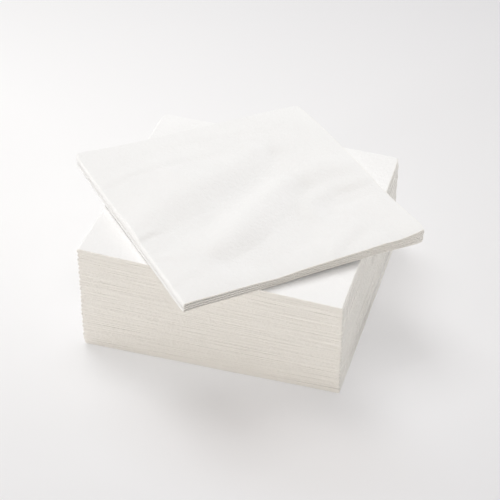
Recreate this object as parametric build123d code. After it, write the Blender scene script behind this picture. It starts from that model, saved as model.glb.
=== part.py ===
from build123d import *
import os
import random
from math import atan, degrees, pi, radians, tan

# Stack of square paper napkins, each one sheet folded twice to a quarter of its size.
# Most lie squared up in a stack, and the last few lie on top of it, turned like a diamond.
# Lengths are millimetres and angles are degrees. The origin is the middle of the stack's
# underside, with +Z up. The stack's spines, where each napkin is folded the second time,
# face -X. Its first folds face +Y, and its loose cut edges face -Y and +X.

# The sheet
SHEET_SIDE = 330.0
LAYER_THICKNESS = 0.62

# The folds. The first is pressed to a crease, blunted on the napkin's outside, and its gap
# is the air between its two layers at their cut edges. The second is the round spine, which
# holds more air than there is between the two halves at the mouth, the side opposite it.
FIRST_FOLD_GAP = 0.10
CREASE_BLUNT = 0.40
SPINE_GAP = 0.49
MOUTH_GAP = 0.15

# The stack: how far a napkin may lie out of line and out of square in it
STACK_COUNT = 23
LAY_GAP = 0.03
SLIP = 0.40
SKEW = 0.20
SLIP_SEED = 11

# The turned napkins on top
TURNED_NAMES = ["turned_napkin_lower", "turned_napkin_upper"]
TURN = 43.3
TURNED_CENTRE = (-0.5, -0.5)

# Two layers and the first fold make a half, and two halves and the spine make a napkin
HALF_HEIGHT = 2 * LAYER_THICKNESS + FIRST_FOLD_GAP
SPINE_HEIGHT = 2 * HALF_HEIGHT + SPINE_GAP
MOUTH_HEIGHT = 2 * HALF_HEIGHT + MOUTH_GAP
SPINE_RADIUS = SPINE_HEIGHT / 2


def flat_run(bend_radius):
    """Length left flat on each side of a fold, in a layer whose middle bends at this radius."""
    return (SHEET_SIDE - pi * bend_radius) / 2


# Every layer is as long as the sheet, so the outer ones, which go the longer way round the
# spine, end short of the inner ones at the mouth. The first fold takes up the height
# between the middles of its two layers.
OUTER_RUN = flat_run(SPINE_RADIUS - LAYER_THICKNESS / 2)
INNER_RUN = flat_run((SPINE_GAP + LAYER_THICKNESS) / 2)
FOLDED_DEPTH = (SHEET_SIDE - (HALF_HEIGHT - LAYER_THICKNESS) + LAYER_THICKNESS) / 2
FOLDED_WIDTH = SPINE_RADIUS + INNER_RUN

# The top half leans down from the spine to the mouth, so each napkin is a slight wedge
WEDGE = degrees(atan((SPINE_HEIGHT - MOUTH_HEIGHT) / INNER_RUN))
MID_HEIGHT = SPINE_HEIGHT - (FOLDED_WIDTH / 2 - SPINE_RADIUS) * tan(radians(WEDGE))


def half_section():
    """Two layers joined by the first fold, which is pressed to a crease.

    The first coordinate runs along the depth, from the cut edges to the crease. The second
    is the height, from the napkin's outside inwards. The air between the layers closes to
    nothing where the crease begins.
    """
    outline = [
        (0, 0),
        (FOLDED_DEPTH - CREASE_BLUNT, 0),
        (FOLDED_DEPTH, CREASE_BLUNT),
        (FOLDED_DEPTH, HALF_HEIGHT),
        (0, HALF_HEIGHT),
        (0, HALF_HEIGHT - LAYER_THICKNESS),
        (FOLDED_DEPTH - LAYER_THICKNESS, HALF_HEIGHT / 2),
        (0, LAYER_THICKNESS),
    ]
    return make_face(Polyline(*outline, close=True))


def upper_part(section):
    """The part of a half's section that lies inside the napkin, above its middle."""
    keep = Rectangle(FOLDED_DEPTH, HALF_HEIGHT / 2, align=(Align.MIN, Align.MIN))
    return section & Pos(0, HALF_HEIGHT / 2) * keep


def folded_napkin():
    """One napkin, its underside on zero, centred in plan, with its spine at -X."""
    at_spine = Plane(origin=(SPINE_RADIUS, 0, 0), x_dir=(0, 1, 0), z_dir=(1, 0, 0))
    spine_axis = Axis((SPINE_RADIUS, 0, SPINE_RADIUS), (0, 1, 0))
    section = half_section()

    lower = extrude(at_spine * section, amount=OUTER_RUN)
    lower += extrude(at_spine * upper_part(section), amount=INNER_RUN)
    upper = mirror(lower, about=Plane.XY.offset(SPINE_RADIUS)).rotate(spine_axis, WEDGE)
    spine = revolve(at_spine * section, axis=spine_axis, revolution_arc=180 + WEDGE)

    napkin = lower + spine + upper
    return Pos(-FOLDED_WIDTH / 2, -FOLDED_DEPTH / 2, 0) * napkin


def on_level(level):
    """Where a napkin lies that has this many napkins under it."""
    return Pos(0, 0, level * (MID_HEIGHT + LAY_GAP)) * Rot(0, level * WEDGE, 0)


def stacked_napkins(napkin):
    """The squared stack, each napkin a little out of line with the one under it."""
    chance = random.Random(SLIP_SEED)
    placed = {}
    for level in range(STACK_COUNT):
        slip = Pos(chance.uniform(-SLIP, SLIP), chance.uniform(-SLIP, SLIP))
        skew = Rot(0, 0, chance.uniform(-SKEW, SKEW))
        placed[f"stack_napkin_{level + 1:02d}"] = on_level(level) * slip * skew * napkin
    return placed


def turned_napkins(napkin):
    """The napkins that lie turned on top of the stack."""
    stack_top = on_level(STACK_COUNT) * Pos(*TURNED_CENTRE) * Rot(0, 0, TURN)
    return {
        name: stack_top * on_level(level) * napkin
        for level, name in enumerate(TURNED_NAMES)
    }


napkin = folded_napkin()
nodes = stacked_napkins(napkin) | turned_napkins(napkin)

os.makedirs("parts", exist_ok=True)
for name, solid in nodes.items():
    export_step(solid, f"parts/{name}.step")
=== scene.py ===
import math
import random

import bpy
import numpy as np
from mathutils import Matrix, Vector


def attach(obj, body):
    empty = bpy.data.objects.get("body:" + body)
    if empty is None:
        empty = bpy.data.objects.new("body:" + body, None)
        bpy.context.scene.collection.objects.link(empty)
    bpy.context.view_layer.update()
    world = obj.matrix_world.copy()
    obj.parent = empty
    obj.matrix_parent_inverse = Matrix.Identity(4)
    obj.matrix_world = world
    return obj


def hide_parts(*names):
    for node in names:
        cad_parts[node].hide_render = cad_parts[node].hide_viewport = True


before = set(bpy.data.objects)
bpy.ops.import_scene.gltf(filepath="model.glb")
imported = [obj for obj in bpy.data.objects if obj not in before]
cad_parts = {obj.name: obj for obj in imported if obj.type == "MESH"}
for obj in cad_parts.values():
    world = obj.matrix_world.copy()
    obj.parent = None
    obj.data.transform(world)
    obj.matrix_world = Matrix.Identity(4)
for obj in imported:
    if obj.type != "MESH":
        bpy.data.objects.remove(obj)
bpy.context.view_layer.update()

# The stack of paper napkins as folded sheets of tissue. Lengths are millimetres up to the
# point where a mesh is made, unless a comment says metres. Angles are radians unless a name or
# a comment says degrees.

MM = 0.001

# The sheet and its folds, as in the solids
SHEET = 330.0
LAYER = 0.62
CREASE_GAP = 0.10
SPINE_GAP = 0.49
MOUTH_GAP = 0.15
HALF_HEIGHT = 2 * LAYER + CREASE_GAP
SPINE_HEIGHT = 2 * HALF_HEIGHT + SPINE_GAP
MOUTH_HEIGHT = 2 * HALF_HEIGHT + MOUTH_GAP
SPINE_RADIUS = SPINE_HEIGHT / 2
CREASE_RADIUS = (CREASE_GAP + LAYER) / 2
INNER_RUN = (SHEET - math.pi * (SPINE_GAP + LAYER) / 2) / 2
FOLDED_WIDTH = SPINE_RADIUS + INNER_RUN
FOLDED_DEPTH = (SHEET - HALF_HEIGHT + 2 * LAYER) / 2
WEDGE = math.atan((SPINE_HEIGHT - MOUTH_HEIGHT) / INNER_RUN)
MID_HEIGHT = SPINE_HEIGHT - (FOLDED_WIDTH / 2 - SPINE_RADIUS) * math.tan(WEDGE)

# The lay of the stack and of the turned napkins, as in the solids
STACK_COUNT = 23
LAY_GAP = 0.03
SLIP = 0.40
SKEW_DEGREES = 0.20
SLIP_SEED = 11
TURNED = ["turned_napkin_lower", "turned_napkin_upper"]
TURN_DEGREES = 43.3
TURNED_CENTRE = (-0.5, -0.5)

# The stack lies squarer here than in the solids: these shares are left of the slip across, of
# the slip in depth and of the skew. Only the lowest napkin strays to the right and turns.
SETTLING = (0.6, 0.2, 0.3)
STRAY_SLIP = 1.3
STRAY_SKEW_DEGREES = -0.6

# Smooth noise is a sum of sine waves, with lengths between these shares of its wavelength. The
# gain sets its height.
DRIFT_WAVES = 7
DRIFT_LENGTHS = (0.6, 1.8)
DRIFT_GAIN = 1.2

# The napkins of the stack have the seeds 1, 2, 3 and so on. The turned ones have this and the
# next.
TURNED_SEED = 100

# How the soft sheets differ from the ideal ones. Near the spine the tissue is less pressed,
# so it swells into the air that the solids leave there. At the mouth the outer layers give a
# little and end less short of the inner ones. The folds are a little off the middle.
SPINE_SWELL = 0.15
MOUTH_EVENING = 0.6
FOLD_ERROR = 0.05

# The cut edges wander. Each of the four adds a seed of its own to the napkin's: the upper and
# the lower edge at the mouth, then the inner and the outer one at the front.
EDGE_WANDER = 0.06
EDGE_WANDER_LENGTH = 60.0
EDGE_WANDER_REACH = 5.0
EDGE_SEEDS = (0.1, 0.2, 0.3, 0.4)

# At the cut edges the layers are thinner by a share. Along the front ones each half is also
# pressed together by a share, which the unevenness raises at the spine and lowers at the mouth.
STACK_THINNING = 0.02
TURNED_THINNING = 0.10
THINNING_REACH = 0.9
STACK_PRESSING = 0.03
TURNED_PRESSING = 0.33
PRESSING_REACH = 3.5
PRESSING_UNEVENNESS = 0.8

# The corners at the ends of the first fold are blunt
CORNER_PULL = 1.4
CORNER_REACH = 3.0

# The squared stack: half its side, the bend of its layers between its flat ends, which changes
# faster with the height than across, and the rise of two opposite corners of its top
STACK_HALF = SHEET / 4
STACK_WARP = 0.35
STACK_WARP_LENGTH = 75.0
STACK_WARP_HEIGHT_PACE = 5
STACK_TWIST = 0.8

# Where the turned napkins reach past the stack they bend: for each side of the stack, how far
# they reach past it, and how far their top and their underside rise at that reach
BEND = {
    "front": (33.8, -0.3, -0.7),
    "back": (33.9, -1.0, -1.0),
    "left": (33.3, 1.9, 1.9),
    "right": (34.0, 0.0, 0.0),
}
BEND_POWER = 1.6

# Their front edges bow up from the stack: the lift of their top and of their underside at
# places along the napkin's front edge, how far inwards that reaches, and how the top wanders
FRONT_PLACES = (-83, -35, -20, -6, 8, 22, 36, 50, 65, 83)
FRONT_TOP_LIFT = (0.0, 0.0, -0.4, 0.3, 1.4, 1.8, 2.2, 2.6, 3.0, 4.4)
FRONT_UNDERSIDE_LIFT = (0.0, 0.0, 0.5, 1.1, 1.4, 1.6, 1.7, 1.9, 1.5, 0.4)
FRONT_LIFT_REACH = 26.0
FRONT_WANDER = 0.25
FRONT_WANDER_LENGTH = 28.0
FRONT_WANDER_SEED = 3

# The upper layers gape at the middle of the mouth, and the loose corner beside it draws in
MOUTH_LIFT = 2.4
MOUTH_LIFT_REACH = 24.0
LOOSE_CORNER_PULL = 1.0
LOOSE_CORNER_REACH = 4.0

# The spine sags on what it lies on, most at a third of its height. The scale makes 1 of the
# largest value that the sag's form has there.
SPINE_SAG = 0.6
SPINE_SAG_SCALE = 27 / 4
SPINE_SAG_REACH = 2.2

# The top napkin puffs up, most in its middle, and a little at its loose cut edges. The power
# says how flat the middle is. No place sinks, and the least puff rounds that limit off.
PUFF = 2.2
PUFF_POWER = 4
LOOSE_EDGE_LIFT = 0.10
LOOSE_EDGE_REACH = 14.0
LOOSE_EDGE_LENGTH = 40.0
LOOSE_EDGE_SEED = 7
LEAST_PUFF = 0.12

# Soft waves of the top sheet, in the napkin's own plan. Each follows a path, with a crest on
# the left of the way and a trough on the right. Widths and heights are for its start, its
# middle and its end. The path is smoothed to a curve of this degree at most.
PATH_DEGREE = 3
PATH_SHARES = (0, 0.5, 1)
WAVES = [
    {
        "path": [(-79, -20), (-62, -8), (-45, -1), (-27, 3), (-9, 11), (12, 23), (32, 36)],
        "widths": (10.0, 16.5, 7.0),
        "heights": (1.3, 3.1, 1.6),
    },
    {
        "path": [(-42, -51), (-26, -48), (-11, -41), (5, -29), (19, -17), (30, -5)],
        "widths": (9.0, 14.5, 8.0),
        "heights": (1.6, 4.0, 1.7),
    },
    {
        "path": [(33, -36), (40, -27), (50, -23), (60, -22), (71, -23), (81, -21)],
        "widths": (7.0, 7.5, 5.5),
        "heights": (1.5, 2.3, 0.9),
    },
    {
        "path": [(36, -9), (53, -5), (70, -7)],
        "widths": (8.0, 11.0, 9.0),
        "heights": (1.1, 2.3, 1.1),
    },
    {
        "path": [(23, -80), (31, -72), (44, -66), (57, -58), (66, -53)],
        "widths": (3.5, 5.0, 6.0),
        "heights": (0.5, 0.7, 0.15),
    },
    {
        "path": [(-82, -19), (-74, -17), (-62, -14)],
        "widths": (1.6, 2.4, 4.0),
        "heights": (0.45, 0.55, 0.1),
    },
    {
        "path": [(-77, 41), (-51, 47), (-29, 49), (-12, 48), (16, 46)],
        "widths": (3.0, 3.5, 3.5),
        "heights": (0.25, 0.4, 0.1),
    },
    {
        "path": [(-43, 65), (-20, 68), (4, 67), (28, 63), (55, 63)],
        "widths": (3.0, 3.5, 3.0),
        "heights": (0.1, 0.25, 0.1),
    },
    {
        "path": [(-82, -38), (-74, -42), (-62, -48)],
        "widths": (2.5, 3.0, 4.0),
        "heights": (0.25, 0.35, 0.05),
    },
    {
        "path": [(-82, -66), (-70, -62), (-56, -56)],
        "widths": (3.0, 4.0, 5.0),
        "heights": (0.2, 0.25, 0.05),
    },
]

# Distances of the mesh lines from a cut edge and from the end of a fold, and for each fold half
# of the length that is bent and the lines in it
EDGE_LINES = (0.0, 0.35, 0.9, 1.8, 3.4)
FOLD_END_LINES = (3.6, 1.4)
SPINE_REACH = 2.2
SPINE_LINES = 8
CREASE_REACH = 0.66
CREASE_LINES = 4

# Distances of the other mesh lines, before and after the fold that they run along. In the
# turned napkins they are fine on the upper half and on the outer layer, where the top sheet is.
STACK_ACROSS_SPACINGS = (5.2, 5.2)
STACK_DEPTH_SPACINGS = (7.0, 7.0)
TURNED_ACROSS_SPACINGS = (5.0, 1.6)
TURNED_DEPTH_SPACINGS = (1.6, 5.0)

# The tissue: its colours, the attribute and the reach of the cut edges' painted shade, its
# surface, and the noise of its clouds, crepe and fibres, with scales in features per metre. Crepe
# and fibres are embossed by a strength and a depth. The turned napkins are of the same paper as
# the stack's, but their colours are painted darker, as painted shade. The cut edges are painted
# darker and warmer than the faces, as painted shade between the layers.
STACK_TISSUE = {"light": (0.938, 0.931, 0.922), "shade": (0.908, 0.901, 0.892)}
TURNED_TISSUE_PAINTED_SHADE = {"light": (0.903, 0.896, 0.885), "shade": (0.873, 0.866, 0.855)}
CUT_EDGE_PAINTED_SHADE = (0.90, 0.877, 0.828)
CUT_EDGE_ATTRIBUTE = "cut_edge"
CUT_EDGE_REACH = 0.35
TISSUE_SURFACE = {
    "Roughness": 0.95,
    "Specular IOR Level": 0.12,
    "Sheen Weight": 0.08,
    "Sheen Roughness": 0.6,
}
CLOUDS = {"scale": 45.0, "detail": 2, "roughness": 0.55}
CREPE = {"scale": 450.0, "detail": 2, "roughness": 0.55}
CREPE_BUMP = 0.80
CREPE_DEPTH = 0.45
FIBRES = {"scale": 1100.0, "detail": 3, "roughness": 0.6}
FIBRE_BUMP = 0.60
FIBRE_DEPTH = 0.16

# The floor: its own colour and surface, and the share and the tone of a bright backdrop that the
# camera sees in it. That tone is a painted pool of light: it fades with the distance from a bright
# place on the left. Round a place in front of the stack it is darkened by a painted shadow, which
# no lamp casts. Both places are stretched, so that a distance counts more in depth than across.
# Lengths are metres.
FLOOR_HALF = 3.0
FLOOR_DROP = 0.0002
FLOOR_COLOUR = (0.90, 0.895, 0.90)
FLOOR_SURFACE = {"Roughness": 0.9, "Specular IOR Level": 0.1}
GLOW_SHARE = 0.5
GLOW_NEAR = (1.0, 0.985, 0.97)
GLOW_FAR = (0.45, 0.44, 0.46)
GLOW_CENTRE = (-0.40, 0.06)
GLOW_STRETCH = 1.6
GLOW_REACH = (0.24, 0.95)
PAINTED_SHADOW_COLOUR = (0.62, 0.59, 0.575)
PAINTED_SHADOW_CENTRE = (0.054, -0.139)
PAINTED_SHADOW_STRETCH = 2.0
PAINTED_SHADOW_REACH = (0.02, 0.13)

# The surround and the lamps: directions in degrees, round from the front towards the right and
# up from the ground, aim, distance and sizes in metres, energies in watts
SURROUND_COLOUR = (1.0, 0.985, 0.96)
SURROUND_STRENGTH = 0.42
LAMP_AIM = (0, 0, 0.03)
LAMP_DISTANCE = 3.2
LAMPS = {
    "back_left_lamp": {
        "round": 226, "up": 58, "size": 1.4, "energy": 43.5, "colour": (0.985, 0.995, 1.0),
    },
    "back_lamp": {
        "round": 190, "up": 76, "size": 1.4, "energy": 22.0, "colour": (1.0, 0.985, 1.0),
    },
    "front_left_lamp": {
        "round": 322, "up": 6, "size": 0.6, "energy": 32.0, "colour": (1.0, 0.985, 0.98),
    },
    "front_lamp": {
        "round": 33, "up": 6, "size": 0.6, "energy": 5.5, "colour": (1.0, 0.70, 0.42),
    },
    "right_lamp": {
        "round": 120, "up": 6, "size": 0.6, "energy": 28.5, "colour": (0.89, 0.93, 1.0),
    },
}

# The photograph's camera: a long lens that looks down on the front right corner, and how far it
# sees, in metres
LENS = 111.74
SENSOR = 36.0
CAMERA_AIM = (4.1, -5.1, 36.4)
CAMERA_DISTANCE = 1000.0
CAMERA_AZIMUTH_DEGREES = 15.87
CAMERA_ELEVATION_DEGREES = 36.61
CAMERA_ROLL_DEGREES = 0.22
CAMERA_SIGHT = 20.0


def drift(seed, wavelength, *coordinates):
    """Smooth seeded noise, mostly between -1 and 1, with about this wavelength."""
    chance = random.Random(seed)
    total = 0.0
    for _ in range(DRIFT_WAVES):
        heading = [chance.gauss(0, 1) for _ in coordinates]
        length = math.sqrt(sum(part * part for part in heading))
        pace = 2 * math.pi / (wavelength * chance.uniform(*DRIFT_LENGTHS)) / length
        phase = chance.uniform(0, 2 * math.pi)
        along = sum(part * value for part, value in zip(heading, coordinates))
        total = total + np.sin(pace * along + phase)
    return total * math.sqrt(DRIFT_GAIN / DRIFT_WAVES)


def fading(distance, reach):
    """A share that falls from 1 at no distance to almost nothing at twice the reach."""
    return np.exp(-((distance / reach) ** 2))


def half_lines(spacing, fold_reach, fold_lines):
    """Mesh lines along half a side of the sheet, from its cut edge to the middle of a fold."""
    half = SHEET / 2
    start = EDGE_LINES[-1]
    fold_end = half - fold_reach
    end = fold_end - FOLD_END_LINES[0]
    steps = round((end - start) / spacing)
    plain = np.linspace(start, end, steps + 1)[1:]
    near_fold = fold_end - np.array(FOLD_END_LINES[1:])
    fold = np.linspace(fold_end, half, fold_lines + 1)
    return np.concatenate([EDGE_LINES, plain, near_fold, fold])


def side_lines(spacings, fold_reach, fold_lines):
    """Mesh lines along a side of the sheet, with a spacing before its fold and one after it."""
    before, after = (half_lines(spacing, fold_reach, fold_lines) for spacing in spacings)
    return np.concatenate([before, SHEET - after[-2::-1]])


def first_fold(along, skin):
    """Depth from the cut edges and height from the napkin's outside, before the second fold."""
    run = (SHEET - math.pi * CREASE_RADIUS) / 2
    turn = np.clip((along - run) / CREASE_RADIUS, 0, math.pi)
    straight = np.minimum(along, run) - np.maximum(along - run - math.pi * CREASE_RADIUS, 0)
    radius = CREASE_RADIUS + skin
    return straight + radius * np.sin(turn), LAYER / 2 + CREASE_RADIUS - radius * np.cos(turn)


def second_fold(along, height, middle_height):
    """Distance from the spine and height from the underside, for the sheet bent round its spine."""
    sweep = math.pi + WEDGE
    middle = SPINE_RADIUS - middle_height
    radius = SPINE_RADIUS - height
    run = (SHEET - sweep * middle) / 2
    turn = np.clip((along - run) / middle, 0, sweep)
    below = np.maximum(run - along, 0)
    above = np.maximum(along - run - sweep * middle, 0)
    give = 1 + MOUTH_EVENING * (INNER_RUN / run - 1)
    across = SPINE_RADIUS - radius * np.sin(turn) + give * (below + above * math.cos(WEDGE))
    return across, SPINE_RADIUS - radius * np.cos(turn) - above * math.sin(WEDGE)


def blunted(x, y):
    """A place in plan, pulled in where it is near an end of the first fold."""
    for side in (-1, 1):
        corner_x, corner_y = side * FOLDED_WIDTH / 2, FOLDED_DEPTH / 2
        near = np.exp(-((x - corner_x) ** 2 + (y - corner_y) ** 2) / CORNER_REACH**2)
        x = x - side * CORNER_PULL * near / math.sqrt(2)
        y = y - CORNER_PULL * near / math.sqrt(2)
    return x, y


def folded_sheet(seed, across_lines, depth_lines, thinning, pressing):
    """Both skins of one folded napkin, centred in plan on its underside, and its cut edges.

    The arrays are indexed by skin, line across and line in depth. At the cut edges the layers
    are thinner by the share thinning. Along the front ones each half is pressed together by
    about the share pressing.
    """
    chance = random.Random(seed)
    across = across_lines[:, None]
    depth = depth_lines[None, :]
    to_mouth = np.minimum(across, SHEET - across)
    to_front = np.minimum(depth, SHEET - depth)
    to_cut = np.minimum(to_mouth, to_front)
    # How near the spine is: 0 at the mouth and 1 at the spine
    by_spine = 2 * to_mouth / SHEET
    thin = 1 - thinning * fading(to_cut, THINNING_REACH)
    uneven = 1 + PRESSING_UNEVENNESS * (2 * by_spine - 1)
    pressed = 1 - pressing * uneven * fading(to_front, PRESSING_REACH)
    swell = 1 + SPINE_SWELL * by_spine
    spine_error = chance.uniform(-FOLD_ERROR, FOLD_ERROR)
    crease_error = chance.uniform(-FOLD_ERROR, FOLD_ERROR)

    upper, lower, inner, outer = (
        drift(seed + own_seed, EDGE_WANDER_LENGTH, along)
        for own_seed, along in zip(EDGE_SEEDS, (depth, depth, across, across))
    )
    mouth_wander = np.where(across > SHEET / 2, upper, lower)
    front_wander = np.where(depth > SHEET / 2, inner, outer)
    mouth_wander = mouth_wander * EDGE_WANDER * np.exp(-to_mouth / EDGE_WANDER_REACH)
    front_wander = front_wander * EDGE_WANDER * np.exp(-to_front / EDGE_WANDER_REACH)

    skins = []
    for side in (1, -1):
        skin = side * LAYER / 2 * thin
        y, height = first_fold(depth - crease_error, skin)
        _, middle_height = first_fold(depth - crease_error, 0.0)
        height = HALF_HEIGHT / 2 + (height - HALF_HEIGHT / 2) * pressed
        x, z = second_fold(across - spine_error, height * swell, middle_height * swell)
        x = x + mouth_wander - FOLDED_WIDTH / 2
        y = y + front_wander - FOLDED_DEPTH / 2
        x, y = blunted(x, y)
        skins.append(np.stack(np.broadcast_arrays(x, y, z), axis=-1))
    # The second array is the nearness to a cut edge, the mask of the cut edges' painted shade.
    return np.array(skins), np.exp(-to_cut / CUT_EDGE_REACH)


def turned_about(points, axis, angle):
    """Points turned about one axis of the frame by the right-hand rule."""
    turn = np.array(Matrix.Rotation(angle, 3, axis))
    return points @ turn.T


def on_level(points, level):
    """Points of a napkin moved to where it lies with this many napkins under it."""
    return turned_about(points, "Y", level * WEDGE) + (0, 0, level * (MID_HEIGHT + LAY_GAP))


def stack_height(x):
    """Height of the squared stack's top above the ground."""
    return STACK_COUNT * (MID_HEIGHT + LAY_GAP) - x * math.tan(STACK_COUNT * WEDGE)


def warped(points):
    """Points of the squared stack, its layers bent a little between its flat ends."""
    x, y, z = np.moveaxis(points, -1, 0)
    free = np.sin(math.pi * np.clip(z / stack_height(x), 0, 1))
    uneven = drift(SLIP_SEED, STACK_WARP_LENGTH, x, y, STACK_WARP_HEIGHT_PACE * z)
    return np.stack([x, y, z + STACK_WARP * free * uneven], axis=-1)


def twisted(points):
    """Points raised towards two opposite corners of the stack and lowered towards the others."""
    x, y, z = np.moveaxis(points, -1, 0)
    lift = STACK_TWIST * x * y / STACK_HALF**2 * np.clip(z / stack_height(x), 0, 1)
    return np.stack([x, y, z + lift], axis=-1)


def bend(plan, share):
    """How far a turned napkin rises where it reaches past the stack's sides.

    plan is the place over the ground and share the height in the turned napkins, from 0 to 1.
    """
    x, y = plan
    past = {"front": -y, "back": y, "left": -x, "right": x}
    total = 0.0
    for side, (reach, top_rise, underside_rise) in BEND.items():
        amount = (np.maximum(past[side] - STACK_HALF, 0) / reach) ** BEND_POWER
        total = total + amount * (underside_rise + share * (top_rise - underside_rise))
    return total


def edge_lift(x, y, share):
    """How far a turned napkin's front edge bows up and its mouth gapes, in its own plan."""
    to_front = np.maximum(y + FOLDED_DEPTH / 2, 0)
    to_mouth = np.maximum(FOLDED_WIDTH / 2 - x, 0)
    top = np.interp(x, FRONT_PLACES, FRONT_TOP_LIFT)
    top = top + FRONT_WANDER * drift(FRONT_WANDER_SEED, FRONT_WANDER_LENGTH, x)
    underside = np.interp(x, FRONT_PLACES, FRONT_UNDERSIDE_LIFT)
    front = (underside + share * (top - underside)) * fading(to_front, FRONT_LIFT_REACH)
    gape = MOUTH_LIFT * share**2 * np.clip(1 - (2 * y / FOLDED_DEPTH) ** 2, 0, 1)
    return front + gape * fading(to_mouth, MOUTH_LIFT_REACH)


def smooth_path(points):
    """Shares of the way and places, about a millimetre apart, on a smooth curve near the points."""
    points = np.array(points, dtype=float)
    steps = np.hypot(*np.diff(points, axis=0).T)
    share = np.concatenate([[0], np.cumsum(steps)]) / steps.sum()
    degree = min(PATH_DEGREE, len(points) - 1)
    even = np.linspace(0, 1, round(steps.sum()) + 2)
    curve = [np.polyval(np.polyfit(share, part, degree), even) for part in points.T]
    return even, np.stack(curve, axis=-1)


def wave(x, y, path, widths, heights):
    """Height of one soft wave of the top sheet.

    The crest lies one width to the left of the path, and the half in the exponent makes it as
    high as the height that is given.
    """
    share, line = smooth_path(path)
    way = np.gradient(line, axis=0)
    way = way / np.linalg.norm(way, axis=1, keepdims=True)
    distance = (x.reshape(-1, 1) - line[:, 0]) ** 2 + (y.reshape(-1, 1) - line[:, 1]) ** 2
    nearest = distance.argmin(axis=1).reshape(x.shape)
    from_x, from_y = x - line[nearest, 0], y - line[nearest, 1]
    width = np.interp(share, PATH_SHARES, widths)[nearest]
    height = np.interp(share, PATH_SHARES, heights)[nearest]
    beside = (way[nearest, 0] * from_y - way[nearest, 1] * from_x) / width
    past_end = (way[nearest, 0] * from_x + way[nearest, 1] * from_y) / width
    past_end = np.where((nearest == 0) | (nearest == len(line) - 1), past_end, 0)
    return height * beside * np.exp(0.5 - beside**2 / 2 - past_end**2)


def puff(x, y):
    """How far the top sheet stands above a flat one, in the napkin's own plan."""
    half_width, half_depth = FOLDED_WIDTH / 2, FOLDED_DEPTH / 2
    middle = 1 - np.minimum(np.abs(x / half_width), 1) ** PUFF_POWER
    middle = middle * (1 - np.minimum(np.abs(y / half_depth), 1) ** PUFF_POWER)
    loose = np.exp((x - half_width) / LOOSE_EDGE_REACH)
    loose = loose + np.exp((-half_depth - y) / LOOSE_EDGE_REACH)
    uneven = 1 + drift(LOOSE_EDGE_SEED, LOOSE_EDGE_LENGTH, x, y)
    lift = PUFF * middle + LOOSE_EDGE_LIFT * loose * uneven
    lift = lift + sum(wave(x, y, **shape) for shape in WAVES)
    return (lift + np.sqrt(lift**2 + LEAST_PUFF**2)) / 2


def soft_lie(points, level):
    """Points of a turned napkin, bent past the stack's sides, bowed at its edges and puffed up."""
    x, y, z = np.moveaxis(points, -1, 0)
    pair_height = len(TURNED) * SPINE_HEIGHT
    share = np.clip((z + level * SPINE_HEIGHT) / pair_height, 0, 1)
    turn = math.radians(TURN_DEGREES)
    plan = (
        TURNED_CENTRE[0] + x * math.cos(turn) - y * math.sin(turn),
        TURNED_CENTRE[1] + x * math.sin(turn) + y * math.cos(turn),
    )
    part_height = np.clip(z / SPINE_HEIGHT, 0, 1)
    sag = SPINE_SAG * SPINE_SAG_SCALE * part_height * (1 - part_height) ** 2
    sag = sag * fading(x + FOLDED_WIDTH / 2, SPINE_SAG_REACH)
    rise = bend(plan, share) + edge_lift(x, y, share) - sag
    if level == len(TURNED) - 1:
        rise = rise + part_height**2 * puff(x, y)
    to_corner = np.hypot(x - FOLDED_WIDTH / 2, y + FOLDED_DEPTH / 2)
    draw = LOOSE_CORNER_PULL * fading(to_corner, LOOSE_CORNER_REACH)
    return np.stack([x - draw, y + draw, z + rise], axis=-1)


def sheet_object(name, skins, cut_edges):
    """A closed mesh object of both skins and the rim between them."""
    _, rows, columns, _ = skins.shape
    index = np.arange(2 * rows * columns).reshape(2, rows, columns)
    outer, inner = index

    def quads(a, b, c, d):
        return np.stack([a, b, c, d], axis=-1).reshape(-1, 4)

    faces = np.concatenate([
        quads(outer[:-1, :-1], outer[1:, :-1], outer[1:, 1:], outer[:-1, 1:]),
        quads(inner[:-1, :-1], inner[:-1, 1:], inner[1:, 1:], inner[1:, :-1]),
        quads(outer[1:, 0], outer[:-1, 0], inner[:-1, 0], inner[1:, 0]),
        quads(outer[:-1, -1], outer[1:, -1], inner[1:, -1], inner[:-1, -1]),
        quads(outer[0, :-1], outer[0, 1:], inner[0, 1:], inner[0, :-1]),
        quads(outer[-1, 1:], outer[-1, :-1], inner[-1, :-1], inner[-1, 1:]),
    ])
    mesh = bpy.data.meshes.new(name)
    mesh.vertices.add(index.size)
    mesh.vertices.foreach_set("co", (skins * MM).astype(np.float32).ravel())
    mesh.loops.add(faces.size)
    mesh.loops.foreach_set("vertex_index", faces.astype(np.int32).ravel())
    mesh.polygons.add(len(faces))
    mesh.polygons.foreach_set("loop_start", np.arange(0, faces.size, 4, dtype=np.int32))
    mesh.polygons.foreach_set("use_smooth", np.ones(len(faces), dtype=bool))
    mesh.update(calc_edges=True)
    both = np.broadcast_to(cut_edges, (2, rows, columns)).astype(np.float32)
    attribute = mesh.attributes.new(CUT_EDGE_ATTRIBUTE, "FLOAT", "POINT")
    attribute.data.foreach_set("value", both.ravel())
    obj = bpy.data.objects.new(name, mesh)
    bpy.context.scene.collection.objects.link(obj)
    return obj


def dress(obj, node, material):
    """The piece stands for its solid, as a folded sheet of the real size."""
    obj.data.materials.append(material)
    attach(obj, "root")
    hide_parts(node)


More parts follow.
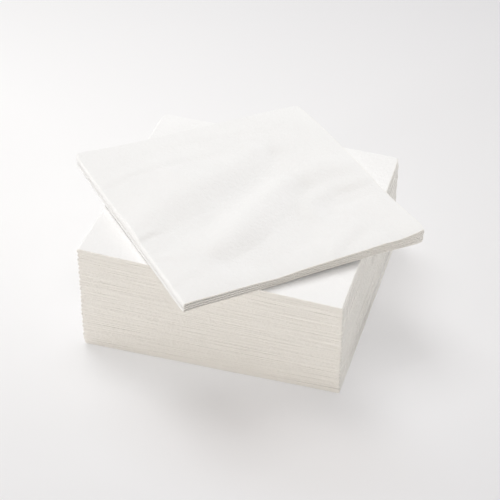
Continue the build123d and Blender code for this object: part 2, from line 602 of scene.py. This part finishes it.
def stacked_napkins(material):
    """The napkins of the squared stack, from the lowest up."""
    chance = random.Random(SLIP_SEED)
    across_lines = side_lines(STACK_ACROSS_SPACINGS, SPINE_REACH, SPINE_LINES)
    depth_lines = side_lines(STACK_DEPTH_SPACINGS, CREASE_REACH, CREASE_LINES)
    below = []
    for level in range(STACK_COUNT):
        node = f"stack_napkin_{level + 1:02d}"
        slip_x, slip_y, skew = (
            share * chance.uniform(-most, most)
            for share, most in zip(SETTLING, (SLIP, SLIP, math.radians(SKEW_DEGREES)))
        )
        if level == 0:
            slip_x = slip_x + STRAY_SLIP
            skew = skew + math.radians(STRAY_SKEW_DEGREES)
        skins, cut_edges = folded_sheet(
            level + 1, across_lines, depth_lines, STACK_THINNING, STACK_PRESSING
        )
        placed = on_level(turned_about(skins, "Z", skew) + (slip_x, slip_y, 0), level)
        obj = sheet_object(f"napkin_{level + 1:02d}", twisted(warped(placed)), cut_edges)
        dress(obj, node, material)
        below = [obj.name]
    return below


def turned_napkins(material):
    """The napkins that lie turned on top."""
    across_lines = side_lines(TURNED_ACROSS_SPACINGS, SPINE_REACH, SPINE_LINES)
    depth_lines = side_lines(TURNED_DEPTH_SPACINGS, CREASE_REACH, CREASE_LINES)
    turn = math.radians(TURN_DEGREES)
    for level, node in enumerate(TURNED):
        skins, cut_edges = folded_sheet(
            TURNED_SEED + level, across_lines, depth_lines, TURNED_THINNING, TURNED_PRESSING
        )
        placed = on_level(soft_lie(skins, level), level)
        placed = turned_about(placed, "Z", turn) + (*TURNED_CENTRE, 0)
        placed = twisted(on_level(placed, STACK_COUNT))
        obj = sheet_object(node.replace("napkin_", ""), placed, cut_edges)
        dress(obj, node, material)


def feed(tree, node, inputs):
    """Gives a node's inputs plain values, or joins other nodes' outputs to them."""
    for key, value in inputs.items():
        if isinstance(value, bpy.types.NodeSocket):
            tree.links.new(value, node.inputs[key])
        else:
            node.inputs[key].default_value = value


def rgba(colour):
    """A colour with full alpha."""
    return (*colour, 1)


def object_place(tree):
    """The place on the object, in metres."""
    return tree.nodes.new("ShaderNodeTexCoord").outputs["Object"]


def noise(tree, vector, scale, detail, roughness):
    """Cloudy noise, with its scale in features per metre."""
    node = tree.nodes.new("ShaderNodeTexNoise")
    feed(tree, node, {"Vector": vector, "Scale": scale, "Detail": detail, "Roughness": roughness})
    return node.outputs["Fac"]


def mixed_colour(tree, factor, first, second):
    """A mix of two colours, each a plain one or another node's output."""
    node = tree.nodes.new("ShaderNodeMix")
    node.data_type = "RGBA"
    feed(tree, node, {"Factor": factor, "A": first, "B": second})
    return node.outputs["Result"]


def maths(tree, operation, first, second):
    """The result of a math node for two values, each a plain one or another node's output."""
    node = tree.nodes.new("ShaderNodeMath")
    node.operation = operation
    feed(tree, node, {0: first, 1: second})
    return node.outputs["Value"]


def bump(tree, inputs):
    """The normal that a bump node gives for these inputs."""
    node = tree.nodes.new("ShaderNodeBump")
    feed(tree, node, inputs)
    return node.outputs["Normal"]


def new_material(name):
    """A new material, its node tree and its shader."""
    material = bpy.data.materials.new(name)
    material.use_nodes = True
    tree = material.node_tree
    return material, tree, tree.nodes["Principled BSDF"]


def paper_material(name, tissue):
    """White tissue: cloudy fibre, a fine felt-like emboss, and cut edges painted darker and warmer,
    as painted shade.
    """
    material, tree, shader = new_material(name)
    place = object_place(tree)
    clouds = noise(tree, place, **CLOUDS)
    fibres = noise(tree, place, **FIBRES)
    crepe = noise(tree, place, **CREPE)
    edge = tree.nodes.new("ShaderNodeAttribute")
    edge.attribute_name = CUT_EDGE_ATTRIBUTE

    face = mixed_colour(tree, clouds, rgba(tissue["shade"]), rgba(tissue["light"]))
    # The cut edges are painted a darker, warmer colour, as painted shade between the layers.
    face = mixed_colour(tree, edge.outputs["Fac"], face, rgba(CUT_EDGE_PAINTED_SHADE))
    felt = bump(tree, {"Height": fibres, "Strength": FIBRE_BUMP, "Distance": FIBRE_DEPTH * MM})
    emboss = bump(tree, {
        "Height": crepe, "Strength": CREPE_BUMP, "Distance": CREPE_DEPTH * MM, "Normal": felt,
    })
    feed(tree, shader, TISSUE_SURFACE | {"Base Color": face, "Normal": emboss})
    return material


def far_from(tree, centre, stretch, reach, interpolation):
    """A factor that goes from 0 near a place on the floor to 1 far from it."""
    plan = tree.nodes.new("ShaderNodeMapping")
    feed(tree, plan, {
        "Vector": object_place(tree),
        "Location": (-centre[0], -centre[1] * stretch, 0),
        "Scale": (1, stretch, 1),
    })
    distance = tree.nodes.new("ShaderNodeVectorMath")
    distance.operation = "LENGTH"
    feed(tree, distance, {"Vector": plan.outputs["Vector"]})
    fade = tree.nodes.new("ShaderNodeMapRange")
    fade.interpolation_type = interpolation
    feed(tree, fade, {
        "Value": distance.outputs["Value"], "From Min": reach[0], "From Max": reach[1],
    })
    return fade.outputs["Result"]


def floor_material():
    """A pale matt floor. Camera, glossy and transmission rays see a share of a backdrop in it,
    which has a painted pool of light and a painted shadow.
    """
    material, tree, shader = new_material("pale_floor")
    feed(tree, shader, FLOOR_SURFACE | {"Base Color": rgba(FLOOR_COLOUR)})

    # The backdrop tone is a painted pool of light, brightest round a place on the left.
    fade = far_from(tree, GLOW_CENTRE, GLOW_STRETCH, GLOW_REACH, "LINEAR")
    # A painted shadow on the backdrop tone round a place in front of the stack, cast by no lamp.
    shade = far_from(tree, PAINTED_SHADOW_CENTRE, PAINTED_SHADOW_STRETCH, PAINTED_SHADOW_REACH, "SMOOTHSTEP")
    tone = mixed_colour(tree, fade, rgba(GLOW_NEAR), rgba(GLOW_FAR))
    tone = mixed_colour(tree, shade, rgba(PAINTED_SHADOW_COLOUR), tone)
    glow = tree.nodes.new("ShaderNodeEmission")
    feed(tree, glow, {"Color": tone})

    path = tree.nodes.new("ShaderNodeLightPath")
    seen = path.outputs["Is Camera Ray"]
    for kind in ("Is Glossy Ray", "Is Transmission Ray"):
        seen = maths(tree, "MAXIMUM", seen, path.outputs[kind])
    both = tree.nodes.new("ShaderNodeMixShader")
    feed(tree, both, {
        "Fac": maths(tree, "MULTIPLY", seen, GLOW_SHARE),
        1: shader.outputs["BSDF"],
        2: glow.outputs["Emission"],
    })
    feed(tree, tree.nodes["Material Output"], {"Surface": both.outputs["Shader"]})
    return material


def floor():
    """A wide pale floor under the stack."""
    mesh = bpy.data.meshes.new("floor")
    corners = [(x * FLOOR_HALF, y * FLOOR_HALF, 0) for x, y in ((-1, -1), (1, -1), (1, 1), (-1, 1))]
    mesh.from_pydata(corners, [], [(0, 1, 2, 3)])
    obj = bpy.data.objects.new("floor", mesh)
    obj.location.z = -FLOOR_DROP
    bpy.context.scene.collection.objects.link(obj)
    mesh.materials.append(floor_material())


def direction(round_degrees, up_degrees):
    """The unit vector towards a direction, round from the front and up from the ground."""
    turn, rise = math.radians(round_degrees), math.radians(up_degrees)
    return Vector((
        math.sin(turn) * math.cos(rise),
        -math.cos(turn) * math.cos(rise),
        math.sin(rise),
    ))


def lights():
    """An even surround, two broad lamps high behind the stack, and three small low ones."""
    world = bpy.data.worlds.new("surround")
    world.use_nodes = True
    tree = world.node_tree
    even = {"Color": rgba(SURROUND_COLOUR), "Strength": SURROUND_STRENGTH}
    feed(tree, tree.nodes["Background"], even)
    bpy.context.scene.world = world
    for name, lamp in LAMPS.items():
        data = bpy.data.lights.new(name, "AREA")
        data.size = lamp["size"]
        data.energy = lamp["energy"]
        data.color = lamp["colour"]
        towards = direction(lamp["round"], lamp["up"])
        obj = bpy.data.objects.new(name, data)
        obj.location = LAMP_DISTANCE * towards
        obj.rotation_euler = (obj.location - Vector(LAMP_AIM)).to_track_quat("Z", "Y").to_euler()
        bpy.context.scene.collection.objects.link(obj)


def camera():
    """The photograph's view."""
    back = direction(CAMERA_AZIMUTH_DEGREES, CAMERA_ELEVATION_DEGREES)
    right = direction(CAMERA_AZIMUTH_DEGREES + 90, 0)
    level = Matrix((right, back.cross(right), back)).transposed()
    roll = Matrix.Rotation(math.radians(CAMERA_ROLL_DEGREES), 3, "Z")
    data = bpy.data.cameras.new("photo_camera")
    data.lens = LENS
    data.sensor_width = SENSOR
    data.clip_end = CAMERA_SIGHT
    obj = bpy.data.objects.new("photo_camera", data)
    obj.matrix_world = (level @ roll).to_4x4()
    obj.location = (Vector(CAMERA_AIM) + CAMERA_DISTANCE * back) * MM
    bpy.context.scene.collection.objects.link(obj)
    bpy.context.scene.camera = obj


top_of_stack = stacked_napkins(paper_material("stack_tissue", STACK_TISSUE))
# The turned napkins' tissue is the stack's paper painted darker, as painted shade.
turned_napkins(paper_material("turned_tissue_painted_shade", TURNED_TISSUE_PAINTED_SHADE))
floor()
lights()
camera()
bpy.context.scene.view_settings.view_transform = "Standard"
